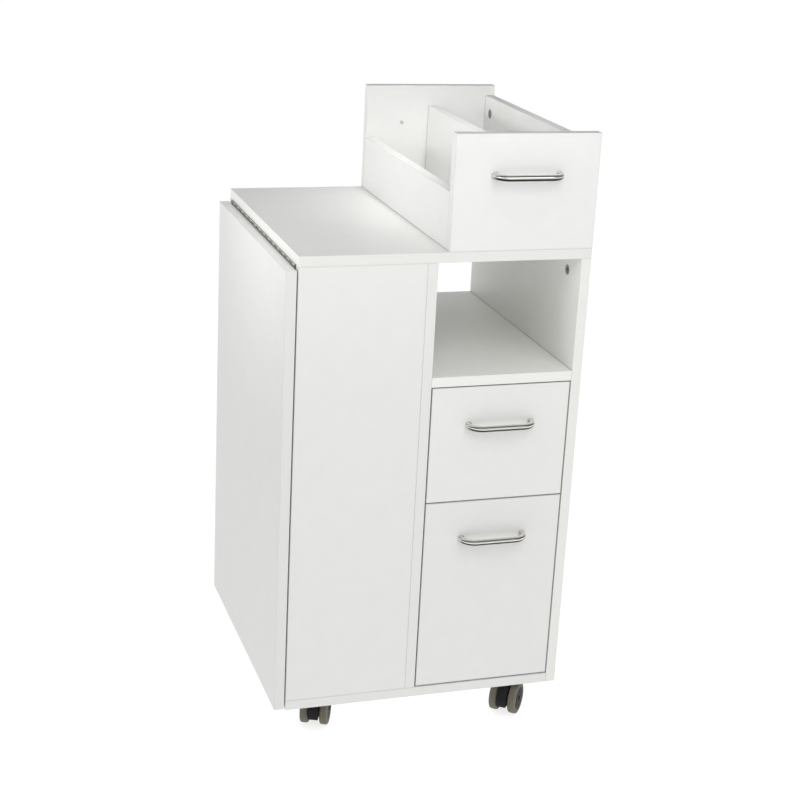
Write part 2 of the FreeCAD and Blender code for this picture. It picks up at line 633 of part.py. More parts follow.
for gi, pa in ((1, q[1]), (3, q[3])):
    first = 1 if path.getPoint(gi, 1).sub(pa).Length < 1e-6 else 2
    path.addConstraint(Sketcher.Constraint("Tangent", gi - 1, 2, gi, first))
    path.addConstraint(Sketcher.Constraint("Tangent", gi + 1, 1, gi, 3 - first))
    dim(path, "Radius", (gi,), "stay_bend")
anchor(path, 0, 1, "0", "0")
anchor(path, 4, 2, "depth - 2*board - 2*stay_in", "0")
dim(path, "DistanceY", (2, 1, -1, 1), "stay_len")
prof = new_sketch(frame, "z")
circle(prof, "0", "0", "stay_rod")
doc.recompute()
pipe = frame.newObject("PartDesign::AdditivePipe", "Pipe")
pipe.Profile = (prof, [""])
pipe.Spine = (path, [""])
for y0 in ("-4.2", "depth - 2*board - 2*stay_in - 4.2"):
    eye = new_sketch(frame, "y", y0)
    circle(eye, "0", "0", "stay_rod + 3")
    pad(frame, eye, "8.4", "y", 1)
bore = new_sketch(frame, "y", "-10")
circle(bore, "0", "0", "stay_bore")
pocket(frame, bore, "depth", "y", 1)
place(frame, ("orig_x + stay_x", "orig_y + board + stay_in", "orig_z - stay_drop"))
keep(frame, "support_frame")

brackets = []
for tag, yb, way in (("f", "orig_y + board", 1), ("b", "orig_y + depth - board", -1)):
    s = "" if way > 0 else "-"
    b = doc.addObject("PartDesign::Body", "Body_support_bracket_" + tag)
    sk = new_sketch(b, "y")
    rect(sk, "-7", "-18", "21", "36")
    pad(b, sk, "2.5", "y", way)
    sk = new_sketch(b, "y")
    circle(sk, "0", "0", "stay_pin")
    pad(b, sk, "stay_in + 5.2", "y", way)
    sk = new_sketch(b, "y", f"{s}(stay_in + 4.5)")
    circle(sk, "0", "0", "stay_pin + 2")
    pad(b, sk, "1.6", "y", way)
    sk = new_sketch(b, "y")
    for v in ("-12", "12"):
        circle(sk, "10", v, "1.8")
    pocket(b, sk, "5", "y", way)
    place(b, ("orig_x + stay_x", yb, "orig_z - stay_drop"))
    brackets.append(b)
    for v in ("-", "+"):
        drill("left_front_panel" if tag == "f" else "left_back_panel", "y", yb,
              [("orig_x + stay_x + 10", f"orig_z - stay_drop {v} 12")], "1.4", "11", -way)
pair("support_brackets", brackets)

# ---------------------------------------------------------------- casters
HEAD = {"fl": ("orig_x + caster_x", "orig_y + caster_y", "swivel_fl"),
        "fr": ("orig_x + top_w - caster_x", "orig_y + caster_y", "swivel_fr"),
        "bl": ("orig_x + caster_x", "orig_y + depth - caster_y", "swivel_bl"),
        "br": ("orig_x + top_w - caster_x", "orig_y + depth - caster_y", "swivel_br")}
plates = []
for tag, (cx, cy, _a) in HEAD.items():
    # plate with the kingpin and the raised race under it, origin on the swivel axis at floor level
    b = doc.addObject("PartDesign::Body", "Body_plate_" + tag)
    sk = new_sketch(b, "z", "caster_hi - plate_t")
    rect(sk, "-plate_side/2", "-plate_side/2", "plate_side", "plate_side")
    p = pad(b, sk, "plate_t", "z", 1)
    doc.recompute()
    fl = b.newObject("PartDesign::Fillet", "Fillet")
    fl.Base = (p, [f"Edge{i + 1}" for i, e in enumerate(p.Shape.Edges)
                   if abs(e.Vertexes[0].Z - e.Vertexes[-1].Z) > 0.5])
    fl.Radius = 5
    doc.recompute()
    sk = new_sketch(b, "z", "caster_hi - plate_t")
    circle(sk, "0", "0", "kingpin_rad + 5")
    pad(b, sk, "0.9", "z", -1)
    sk = new_sketch(b, "z", "caster_hi - plate_t")
    circle(sk, "0", "0", "kingpin_rad")
    pad(b, sk, "20", "z", -1)
    sk = new_sketch(b, "z", "caster_hi")
    for u in ("-", ""):
        for v in ("-", ""):
            circle(sk, f"{u}(plate_side/2 - 5.5)", f"{v}(plate_side/2 - 5.5)", "2.1")
    pocket(b, sk, "plate_t + 1", "z", -1)
    place(b, (cx, cy, "0"))
    plates.append(b)
    for u in ("-", "+"):
        for v in ("-", "+"):
            drill("bottom_board", "z", BOT, [(f"{cx} {u} (plate_side/2 - 5.5)", f"{cy} {v} (plate_side/2 - 5.5)")],
                  "1.5", "12", 1)
pair("caster_plates", plates)

for tag, (cx, cy, ang) in HEAD.items():
    turn = Rotation(Vector(0, 0, 1), num(ang) + 90)
    # hood: a web between the wheels, a boss round the kingpin and a fender over both wheels; local +x is the trail
    b = doc.addObject("PartDesign::Body", "Body_hood_" + tag)
    web = new_sketch(b, "y")
    circle(web, "trail", "wheel_rad", "hood_rad")
    pad(b, web, "2*web_half", "y", midplane=True)
    low = new_sketch(b, "y")
    rect(low, "trail - 40", "-20", "80", "37.5")
    f = pocket(b, low, "2*web_half + 4", "y", 1)
    f.Midplane = True
    boss = new_sketch(b, "z", "30")
    circle(boss, "0", "0", "web_half + 0.4")
    pad(b, boss, "24.4", "z", 1)
    fend = new_sketch(b, "y")
    a0, a1 = math.radians(80.0), math.radians(130.0)
    ro, ri = d.hood_rad, d.hood_rad - d.hood_wall
    c = Vector(d.trail, d.wheel_rad)
    pt = lambda r, a: Vector(c.x + r * math.cos(a), c.y + r * math.sin(a))
    am = (a0 + a1) / 2
    for g in (Part.Arc(pt(ro, a0), pt(ro, am), pt(ro, a1)), Part.LineSegment(pt(ro, a1), pt(ri, a1)),
              Part.Arc(pt(ri, a1), pt(ri, am), pt(ri, a0)), Part.LineSegment(pt(ri, a0), pt(ro, a0))):
        fend.addGeometry(g, False)
    for gi in (0, 2):
        fend.addConstraint(Sketcher.Constraint("Block", gi))
    for gi, other in ((1, 0), (3, 2)):
        fend.addConstraint(Sketcher.Constraint("Block", gi))
    pad(b, fend, "2*hood_half", "y", midplane=True)
    bore = new_sketch(b, "z", "34.6")
    circle(bore, "0", "0", "kingpin_bore")
    pocket(b, bore, "30", "z", 1)
    ax = new_sketch(b, "y")
    circle(ax, "trail", "wheel_rad", "axle_bore")
    f = pocket(b, ax, "60", "y", 1)
    f.Midplane = True
    place(b, (cx, cy, "0"), turn)
    keep(b, f"caster_hood_{tag}")
    # axle
    a = doc.addObject("Part::Cylinder", "Axle_" + tag)
    a.setExpression("Radius", ex("axle_rad"))
    a.setExpression("Height", ex("wheel_pitch + 10"))
    rad = math.radians(num(ang) + 90)
    ux, uy = math.cos(rad), math.sin(rad)
    half = num("wheel_pitch/2 + 5")
    base = Vector(num(cx) + d.trail * ux + half * uy, num(cy) + d.trail * uy - half * ux, d.wheel_rad)
    a.Placement = Placement(base, Rotation(Vector(0, 0, 1), Vector(-uy, ux, 0)))
    keep(a, f"caster_axle_{tag}")
    # two wheels: a tread ring with rounded shoulders round a dished hub, turned about the axle
    both = []
    for side in (1, -1):
        w = doc.addObject("PartDesign::Body", f"Body_wheel_{tag}_{'a' if side > 0 else 'b'}")
        sk = new_sketch(w, "y")
        hw, r = num("wheel_w/2"), d.wheel_rad
        # half section in (x = radius, y = along the axle)
        pts = [(d.axle_bore, -hw), (r - 2.5, -hw), (r - 0.7, -hw + 0.9), (r, -hw + 2.8), (r, hw - 2.8), (r - 0.7, hw - 0.9),
               (r - 2.5, hw), (17.5, hw), (17.0, hw - 1.2), (8.0, hw - 0.4), (d.axle_bore, hw - 0.4)]
        for i in range(len(pts)):
            sk.addGeometry(Part.LineSegment(Vector(*pts[i]), Vector(*pts[(i + 1) % len(pts)])), False)
        for i in range(len(pts)):
            sk.addConstraint(Sketcher.Constraint("Block", i))
        rev = w.newObject("PartDesign::Revolution", "Revolution")
        rev.Profile = (sk, [""])
        rev.ReferenceAxis = (sk, ["V_Axis"])
        rev.Angle = 360
        sk.Visibility = False
        # the body's +z is the wheel's outer side
        off = side * num("wheel_pitch/2")
        ctr = Vector(num(cx) + d.trail * ux - off * uy, num(cy) + d.trail * uy + off * ux, d.wheel_rad)
        w.Placement = Placement(ctr, Rotation(Vector(0, 0, 1), Vector(-uy * side, ux * side, 0)))
        both.append(w)
    pair(f"caster_wheels_{tag}", both)

do_drills()
doc.recompute()


# ---------------------------------------------------------------- fasteners, many alike in one node
def feature(name, solids):
    f = doc.addObject("Part::Feature", "Group_" + name)
    f.Shape = Part.makeCompound(solids)
    f.Placement = Placement()
    keep(f, name)


def cyl(r, ln, at, way):
    return Part.makeCylinder(r, ln, at, way)


cams = []
for at, into, way in CAMS:
    body = cyl(d.cam_rad - 0.15, d.cam_deep - 0.5, at + into * 0.2, into)
    side = into.cross(way)
    for u, v, a, w in ((way, side, 10.0, 1.8), (side, way, 10.0, 1.8)):
        bx = Part.makeBox(a, w, 3.0)
        m = FreeCAD.Matrix(u.x, v.x, into.x, 0, u.y, v.y, into.y, 0, u.z, v.z, into.z, 0, 0, 0, 0, 1)
        if u.cross(v).dot(into) < 0:
            m = FreeCAD.Matrix(u.x, -v.x, into.x, 0, u.y, -v.y, into.y, 0, u.z, -v.z, into.z, 0, 0, 0, 0, 1)
        bx.translate(Vector(-a / 2, -w / 2, -0.8))
        bx = bx.transformGeometry(m)
        bx.translate(at)
        body = body.cut(bx)
    body = body.cut(cyl(3.95, 12.0, at + into * d.cam_mid + way * 0.5, way))
    cams.append(body)
bolts = []
for at, way, back in BOLTS:
    rod = cyl(3.4, back - 2.0, at - way * (back - 2.0), way)
    stud = cyl(d.cam_stud_bore - 0.06, d.cam_stud_deep - 0.6, at, way)
    bolts.append(rod.fuse(stud))
feature("cam_fittings", cams + bolts)

feature("dowels", [cyl(d.dowel_bore - 0.06, 25.0, at - way * 15.0, way) for at, way in DOWELS])


def screw(at, way, head_r, head_t, shank_r, shank):
    """Pan-head screw: its head sits on the face at 'at', its shank runs along 'way'."""
    head = cyl(head_r, head_t, at - way * head_t, way)
    slot = Part.makeSphere(head_r * 0.55, at - way * (head_t + head_r * 0.3))
    return head.fuse(cyl(shank_r, shank, at, way)).cut(slot)


def p3(x, y, z):
    return Vector(num(x), num(y), num(z))


pz = num(PIN_Z)
feature("hinge_fixed_screws", [screw(p3("orig_x + hinge_wide - 5", f"orig_y + {yy} + 6", "orig_z - board - hinge_plate"), Vector(0, 0, 1), 2.4, 0.8, 1.24, 11.0)
                               for yy in SCREW_Y])
feature("hinge_leaf_screws", [screw(p3("orig_x - leaf_gap + hinge_plate", f"orig_y + {yy} + 6", PIN_Z + " - hinge_wide + 5"), Vector(-1, 0, 0), 2.4, 0.8, 1.24, 11.0)
                              for yy in SCREW_Y])


def handle_screws(xm, zt):
    return [screw(p3(f"{xm} {s} grip_pitch/2", FB, f"{zt} - grip_drop"), Vector(0, -1, 0), 4.0, 2.2, 1.94, 23.0) for s in "-+"]


for key in ("upper", "lower"):
    feature(f"{key}_handle_screws", handle_screws(GRIP_MID, DRAWERS[key][0]))
# the cabinet's own screws: caster plates, box handle, the box's back panel and the support brackets
fix = [screw(p3(f"{cx} {u} (plate_side/2 - 5.5)", f"{cy} {v} (plate_side/2 - 5.5)", BOT + " - plate_t"), Vector(0, 0, 1), 3.4, 1.2, 1.44, 12.0)
       for cx, cy, _ in HEAD.values() for u in "-+" for v in "-+"]
fix += handle_screws("orig_x + box_x + bay_w/2", "orig_z + box_end_hi")
fix.append(screw(p3(SCREW_AT[0], BB, SCREW_AT[1]), Vector(0, 1, 0), 2.6, 1.4, 1.44, 10.0))
for yb, way in (("orig_y + board", 1), ("orig_y + depth - board", -1)):
    for v in "-+":
        at = p3("orig_x + stay_x + 10", yb, f"orig_z - stay_drop {v} 12") + Vector(0, way * 2.5, 0)
        fix.append(screw(at, Vector(0, -way, 0), 3.0, 1.4, 1.34, 13.0))
feature("cabinet_screws", fix)

# Catch strips on the leaf's inner face: the frame's cross bar drops between two lips. The outer lip is a low
# ramp that stays under the path of the bar as the leaf comes up.
px = num("orig_x - leaf_gap")
# height of the bar's centre over the pivot with the leaf up: under the tabletop's lower face by the strip's
# floor, a running gap and the rod's radius
rise = d.stay_drop - d.board - 1.2 - 0.3 - d.stay_rod
reach = math.sqrt(d.stay_len ** 2 - rise ** 2) - d.stay_x
cz = num("orig_z - board - knuckle_rad") - reach
solids = []
for y0 in (num("orig_y + 90"), num("orig_y + depth - 130")):
    prof = [(0, 30), (1.2, 30), (5.5, 22), (5.5, 8), (4.6, 5.2), (1.2, 4.6), (1.2, -4.6), (1.9, -5.6), (2.2, -8), (2.6, -14), (0.8, -22), (0, -22)]
    wire = Part.makePolygon([Vector(px + a, y0, cz + b) for a, b in prof + [prof[0]]])
    solids.append(Part.Face(wire).extrude(Vector(0, 40, 0)))
feature("leaf_catches", solids)
doc.recompute()

# ---------------------------------------------------------------- checks and export
bad = []
for o in doc.Objects:
    if any(s in o.State for s in ("Invalid", "Error")):
        bad.append((o.Name, o.Label, o.State))
for o in NODES:
    if o.Shape.isNull() or not o.Shape.isValid() or o.Shape.Volume <= 0:
        bad.append((o.Label, "shape"))
for f in POCKETS:
    base = f.BaseFeature
    if base is not None and not base.Shape.isNull() and base.Shape.Volume - f.Shape.Volume < 1e-3:
        bad.append((f.Name, f.getParentGeoFeatureGroup().Label if f.getParentGeoFeatureGroup() else "", "cuts nothing"))
if bad:
    raise SystemExit("failed objects: " + repr(bad[:20]))
labels = [o.Label for o in NODES]
if len(set(labels)) != len(labels) or len(labels) > 60:
    raise SystemExit(f"{len(labels)} nodes, names must be unique and at most 60: {labels}")
for old in os.listdir("parts"):
    if old.endswith(".step"):
        os.remove(os.path.join("parts", old))
box = FreeCAD.BoundBox()
for o in NODES:
    o.Shape.exportStep(os.path.join("parts", o.Label + ".step"))
    box.add(o.Shape.BoundBox)
print(len(NODES), "nodes", "box", [round(v, 2) for v in (box.XMin, box.XMax, box.YMin, box.YMax, box.ZMin, box.ZMax)])
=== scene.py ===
import json
import math
import random

import bmesh
import bpy
from mathutils import Matrix, Vector


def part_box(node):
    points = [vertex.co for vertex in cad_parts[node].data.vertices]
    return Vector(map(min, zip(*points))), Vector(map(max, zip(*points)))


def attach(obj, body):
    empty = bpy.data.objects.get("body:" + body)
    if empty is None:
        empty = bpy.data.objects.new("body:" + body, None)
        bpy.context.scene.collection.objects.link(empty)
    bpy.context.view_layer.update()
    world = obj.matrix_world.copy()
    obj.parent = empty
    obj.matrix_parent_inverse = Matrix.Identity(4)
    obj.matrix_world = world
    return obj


# Looks for the rolling drop-leaf cabinet: every board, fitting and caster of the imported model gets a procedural
# finish, and small pieces that CAD leaves out are added and ride on its bodies.

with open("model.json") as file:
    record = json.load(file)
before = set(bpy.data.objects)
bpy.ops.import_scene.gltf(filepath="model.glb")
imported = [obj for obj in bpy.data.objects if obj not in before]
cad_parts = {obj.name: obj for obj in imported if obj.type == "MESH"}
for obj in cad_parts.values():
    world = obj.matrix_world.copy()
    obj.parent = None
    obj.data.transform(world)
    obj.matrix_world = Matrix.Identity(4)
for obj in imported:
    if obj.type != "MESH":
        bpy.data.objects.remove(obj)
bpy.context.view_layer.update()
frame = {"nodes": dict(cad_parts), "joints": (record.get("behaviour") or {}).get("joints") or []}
NODES = frame["nodes"]
random.seed(7)
MM = 0.001


# ------------------------------------------------------------------ node-tree helper
class Tree:
    def __init__(self, name):
        self.mat = bpy.data.materials.new(name)
        self.mat.use_nodes = True
        self.t = self.mat.node_tree
        self.t.nodes.clear()
        self.out = self.t.nodes.new("ShaderNodeOutputMaterial")
        self.b = self.t.nodes.new("ShaderNodeBsdfPrincipled")
        self.link(self.b.outputs[0], self.out.inputs[0])
        self._pos = None

    def link(self, a, b):
        self.t.links.new(a, b)

    def node(self, kind, **props):
        n = self.t.nodes.new(kind)
        for k, v in props.items():
            setattr(n, k, v)
        return n

    def set(self, socket, value):
        if isinstance(value, bpy.types.NodeSocket):
            self.link(value, socket)
        else:
            socket.default_value = value

    def pos(self):
        if self._pos is None:
            self._pos = self.node("ShaderNodeTexCoord").outputs["Object"]
        return self._pos

    def math(self, op, a, b=None, c=None, clamp=False):
        n = self.node("ShaderNodeMath", operation=op, use_clamp=clamp)
        for i, v in enumerate((a, b, c)):
            if v is not None:
                self.set(n.inputs[i], v)
        return n.outputs[0]

    def vmath(self, op, a, b=None):
        n = self.node("ShaderNodeVectorMath", operation=op)
        self.set(n.inputs[0], a)
        if b is not None:
            self.set(n.inputs[3 if op == "SCALE" else 1], b)
        return n.outputs["Value"] if op in ("DOT_PRODUCT", "LENGTH", "DISTANCE") else n.outputs["Vector"]

    def noise(self, scale, detail=3.0, rough=0.5, vector=None, distortion=0.0):
        n = self.node("ShaderNodeTexNoise")
        self.link(vector if vector is not None else self.pos(), n.inputs["Vector"])
        n.inputs["Scale"].default_value = scale
        n.inputs["Detail"].default_value = detail
        n.inputs["Roughness"].default_value = rough
        n.inputs["Distortion"].default_value = distortion
        return n.outputs["Fac"]

    def voronoi(self, scale, feature="F1", out="Distance", vector=None):
        n = self.node("ShaderNodeTexVoronoi", feature=feature)
        self.link(vector if vector is not None else self.pos(), n.inputs["Vector"])
        n.inputs["Scale"].default_value = scale
        return n.outputs[out]

    def remap(self, v, a, b, lo, hi, smooth=False):
        n = self.node("ShaderNodeMapRange")
        if smooth:
            n.interpolation_type = "SMOOTHSTEP"
        self.link(v, n.inputs["Value"])
        for k, x in (("From Min", a), ("From Max", b), ("To Min", lo), ("To Max", hi)):
            self.set(n.inputs[k], x)
        return n.outputs["Result"]

    def mix(self, fac, a, b, mode="MIX"):
        n = self.node("ShaderNodeMix", data_type="RGBA", blend_type=mode)
        self.set(n.inputs[0], fac)
        for i, v in ((6, a), (7, b)):
            if isinstance(v, tuple) and len(v) == 3:
                v = (*v, 1.0)
            self.set(n.inputs[i], v)
        return n.outputs[2]

    def ramp(self, v, stops):
        """A grey curve through (place, value) stops, smooth between them."""
        n = self.node("ShaderNodeValToRGB")
        n.color_ramp.interpolation = "EASE"
        e = n.color_ramp.elements
        while len(e) > 1:
            e.remove(e[-1])
        for i, (x, g) in enumerate(stops):
            k = e[0] if i == 0 else e.new(x)
            k.position = x
            k.color = (g, g, g, 1.0)
        self.link(v, n.inputs[0])
        return n.outputs[0]

    def normal(self):
        """The surface direction in the piece's own frame."""
        return self.node("ShaderNodeTexCoord").outputs["Normal"]

    def shade(self, reach, samples=6):
        """1 in the open, falling towards 0 where another surface lies within reach."""
        n = self.node("ShaderNodeAmbientOcclusion", samples=samples)
        n.inputs["Distance"].default_value = reach
        return n.outputs["AO"]

    def grey(self, v):
        """A colour from a number."""
        n = self.node("ShaderNodeCombineColor")
        for i in range(3):
            self.link(v, n.inputs[i])
        return n.outputs[0]

    def bump(self, height, distance, strength=1.0, normal=None):
        n = self.node("ShaderNodeBump")
        n.inputs["Strength"].default_value = strength
        n.inputs["Distance"].default_value = distance
        self.link(height, n.inputs["Height"])
        if normal is not None:
            self.link(normal, n.inputs["Normal"])
        return n.outputs["Normal"]

    def finish(self, color, rough, metallic=0.0, normal=None, **extra):
        self.set(self.b.inputs["Base Color"], (*color, 1.0) if isinstance(color, tuple) and len(color) == 3 else color)
        self.set(self.b.inputs["Roughness"], rough)
        self.set(self.b.inputs["Metallic"], metallic)
        if normal is not None:
            self.link(normal, self.b.inputs["Normal"])
        for k, v in extra.items():
            self.set(self.b.inputs[k.replace("_", " ")], v)
        return self.mat


def sep(t, v):
    n = t.node("ShaderNodeSeparateXYZ")
    t.link(v, n.inputs[0])
    return n.outputs


def stretched(t, factors, vector=None):
    return t.vmath("MULTIPLY", vector if vector is not None else t.pos(), factors)


# ------------------------------------------------------------------ boards
WHITE = (0.86, 0.86, 0.846)


def board_material(node, axis, tint=WHITE, band=0.0009, top_edge_light=None, side_edge_light=None, joint_shade=0.50):
    """White melamine on a board that lies across an axis: pearl-textured faces, a smoother edge band with its thin
    glue line, a trace of handling, painted shade as a darker rim along the board's arrises, and painted shade in the
    joints with other boards. The two edge arguments scale the colour of the banded edge that faces up or to the left:
    painted light and shade set by which way the edge faces. The last argument is how dark the painted shade in a joint
    gets."""
    lo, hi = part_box(node)
    t = Tree(f"melamine_{node}")
    p = sep(t, t.pos())
    inplane = [i for i in range(3) if i != axis]
    dist = None
    for i in inplane:
        near = t.math("MINIMUM", t.math("SUBTRACT", p[i], float(lo[i])), t.math("SUBTRACT", float(hi[i]), p[i]))
        dist = near if dist is None else t.math("MINIMUM", dist, near)
    deep = t.math("MINIMUM", t.math("SUBTRACT", p[axis], float(lo[axis])), t.math("SUBTRACT", float(hi[axis]), p[axis]))
    # 1 on the faces, 0 on the edge band
    face = t.remap(dist, band * 0.9, band * 1.05, 0.0, 1.0)
    line = t.math("MULTIPLY", t.remap(dist, band * 0.85, band, 0.0, 1.0, True), t.remap(dist, band, band * 1.35, 1.0, 0.0, True))
    # the print of the press plate: fine rounded pebbles with soft long-wave unevenness
    pebble = t.noise(1500.0, 2.0, 0.55)
    fine = t.noise(4200.0, 1.0, 0.5)
    wave = t.noise(9.0, 2.0, 0.5)
    cloud = t.noise(34.0, 3.0, 0.6)
    hand = t.remap(t.noise(5.5, 4.0, 0.62, distortion=0.6), 0.56, 0.78, 0.0, 1.0, True)
    # extruded band: faint lines running along the edge
    drag = t.noise(1.0, 2.0, 0.5, vector=stretched(t, tuple(1400.0 if i == axis else 14.0 for i in range(3))))
    base = t.remap(cloud, 0.3, 0.7, 0.988, 1.008)
    base = t.math("MULTIPLY", base, t.remap(pebble, 0.25, 0.75, 0.985, 1.006))
    base = t.math("SUBTRACT", base, t.math("MULTIPLY", line, 0.20))
    # painted shade: a darker rim along the arrises, where the face meets the edge band
    rim = t.math("MULTIPLY", t.remap(dist, 0.0, 0.0006, 1.0, 0.0, True), t.remap(deep, 0.0, 0.0006, 1.0, 0.0, True))
    base = t.math("SUBTRACT", base, t.math("MULTIPLY", rim, 0.16))
    # painted shade: darker where another surface lies within a few millimetres, in the joints between boards
    base = t.math("MULTIPLY", base, t.remap(t.shade(0.0024), 0.15, 0.85, joint_shade, 1.0))
    # painted light and shade: the banded edge that faces up is made lighter or darker by a per-board factor
    if top_edge_light:
        nz = sep(t, t.normal())[2]
        on = t.math("MULTIPLY", t.remap(nz, 0.6, 0.9, 0.0, 1.0), t.remap(p[2], float(hi[2]) - 0.0012, float(hi[2]) - 0.0006, 0.0, 1.0))
        base = t.math("MULTIPLY", base, t.remap(on, 0.0, 1.0, 1.0, top_edge_light))
    # painted light and shade: the banded edge that faces left is made lighter or darker by a per-board factor
    if side_edge_light:
        nx = sep(t, t.normal())[0]
        on = t.math("MULTIPLY", t.remap(nx, -0.6, -0.9, 0.0, 1.0), t.remap(p[0], float(lo[0]) + 0.0012, float(lo[0]) + 0.0006, 0.0, 1.0))
        base = t.math("MULTIPLY", base, t.remap(on, 0.0, 1.0, 1.0, side_edge_light))
    color = t.vmath("SCALE", t.mix(face, (tint[0] * 0.985, tint[1] * 0.985, tint[2] * 0.975), tint), base)
    rough = t.math("ADD", t.remap(pebble, 0.3, 0.7, 0.36, 0.45), t.math("MULTIPLY", hand, 0.07))
    rough = t.math("SUBTRACT", rough, t.math("MULTIPLY", t.math("SUBTRACT", 1.0, face), 0.07))
    height = t.math("ADD", t.math("MULTIPLY", pebble, 0.75), t.math("MULTIPLY", fine, 0.25))
    height = t.math("MULTIPLY", height, face)
    height = t.math("ADD", height, t.math("MULTIPLY", drag, t.math("SUBTRACT", 0.35, t.math("MULTIPLY", face, 0.35))))
    height = t.math("SUBTRACT", height, t.math("MULTIPLY", line, 1.6))
    n = t.bump(height, 0.00002, 0.35)
    n = t.bump(wave, 0.0006, 0.05, n)
    return t.finish(color, rough, 0.0, n, IOR=1.49, Specular_IOR_Level=0.42, Coat_Weight=0.04, Coat_Roughness=0.25)


BOARDS = {"tabletop": 2, "bottom_board": 2, "right_side_panel": 0, "divider_panel": 0, "left_front_panel": 1, "left_back_panel": 1,
          "middle_shelf": 2, "drawer_bay_back": 1, "box_front_panel": 1, "box_back_panel": 1, "box_left_side": 0, "box_right_side": 0,
          "box_divider": 0, "upper_side_shelf": 2, "lower_side_shelf": 2, "leaf_panel": 0, "upper_drawer_front": 1,
          "lower_drawer_front": 1}


def give(node, mat):
    o = NODES[node]
    o.data.materials.clear()
    o.data.materials.append(mat)


# painted light and shade: each board's white is set a shade lighter or darker than the next, lit and shaded copies of
# one melamine
LIT_WHITE = (0.93, 0.93, 0.918)
LIT_TINT = {"box_left_side": LIT_WHITE, "box_front_panel": (0.885, 0.887, 0.873), "box_back_panel": LIT_WHITE, "box_right_side": LIT_WHITE,
        "box_divider": LIT_WHITE}
# painted light and shade on banded edges: greyer top edges on four box panels, a lighter top edge on the leaf, a
# lighter left edge on the tabletop
TOP_EDGE_LIGHT = {"box_front_panel": 0.66, "box_back_panel": 0.66, "box_right_side": 0.62, "box_divider": 0.8}
SIDE_EDGE_LIGHT = {"tabletop": 1.13}
LIT_TINT["tabletop"] = (0.864, 0.866, 0.846)
TOP_EDGE_LIGHT["leaf_panel"] = 1.15
LIT_TINT["leaf_panel"] = (0.835, 0.835, 0.822)
LIT_TINT["box_back_panel"] = (0.855, 0.856, 0.838)
LIT_TINT["middle_shelf"] = (0.945, 0.944, 0.915)
LIT_TINT["upper_drawer_front"] = (0.884, 0.884, 0.868)
LIT_TINT["box_left_side"] = (0.91, 0.91, 0.896)
LIT_TINT["right_side_panel"] = (0.905, 0.903, 0.876)
# painted shade in the joints: how dark each board grows near a neighbouring surface, none on the leaf
JOINT_SHADE = {"leaf_panel": 1.0, "left_front_panel": 0.88, "tabletop": 0.80, "divider_panel": 0.30}
for name, axis in BOARDS.items():
    give(name, board_material(name, axis, LIT_TINT.get(name, WHITE), 0.0009, TOP_EDGE_LIGHT.get(name), SIDE_EDGE_LIGHT.get(name),
                              JOINT_SHADE.get(name, 0.50)))
for key in ("upper", "lower"):
    for part, axis in (("left_side", 0), ("right_side", 0), ("back", 1)):
        give(f"{key}_drawer_{part}", board_material(f"{key}_drawer_{part}", axis, (0.80, 0.80, 0.79), 0.0006))


def bottom_material():
    """Thin fibreboard: a white lacquered face over felted fibres."""
    t = Tree("drawer_bottom")
    fibre = t.noise(1.0, 4.0, 0.6, vector=stretched(t, (220.0, 60.0, 220.0)))
    blot = t.noise(18.0, 3.0, 0.6)
    c = t.math("MULTIPLY", t.remap(fibre, 0.3, 0.7, 0.965, 1.01), t.remap(blot, 0.3, 0.7, 0.97, 1.01))
    return t.finish(t.vmath("SCALE", t.mix(0.0, (0.78, 0.78, 0.76), (1, 1, 1)), c), t.remap(fibre, 0.3, 0.7, 0.45, 0.6), 0.0,
                    t.bump(fibre, 0.00006, 0.4))


mat_bottom = bottom_material()
give("upper_drawer_bottom", mat_bottom)
give("lower_drawer_bottom", mat_bottom)


# ------------------------------------------------------------------ metals and plastics
def plated(name, color, rough, brush=(900.0, 900.0, 900.0), brush_amount=0.08, grime=0.15, bumpy=0.00001):
    """Plated metal: fine brushing along the piece, faint cloudy variation, dull film in patches."""
    t = Tree(name)
    b = t.noise(1.0, 3.0, 0.6, vector=stretched(t, brush))
    cloud = t.noise(60.0, 3.0, 0.55)
    film = t.remap(t.noise(140.0, 4.0, 0.65), 0.52, 0.75, 0.0, 1.0, True)
    col = t.mix(t.math("MULTIPLY", film, grime), tuple(color), tuple(c * 0.72 for c in color))
    col = t.vmath("SCALE", col, t.remap(cloud, 0.3, 0.7, 0.95, 1.03))
    r = t.math("ADD", t.remap(b, 0.25, 0.75, rough - brush_amount / 2, rough + brush_amount / 2), t.math("MULTIPLY", film, 0.1))
    return t.finish(col, r, 1.0, t.bump(b, bumpy, 0.35))


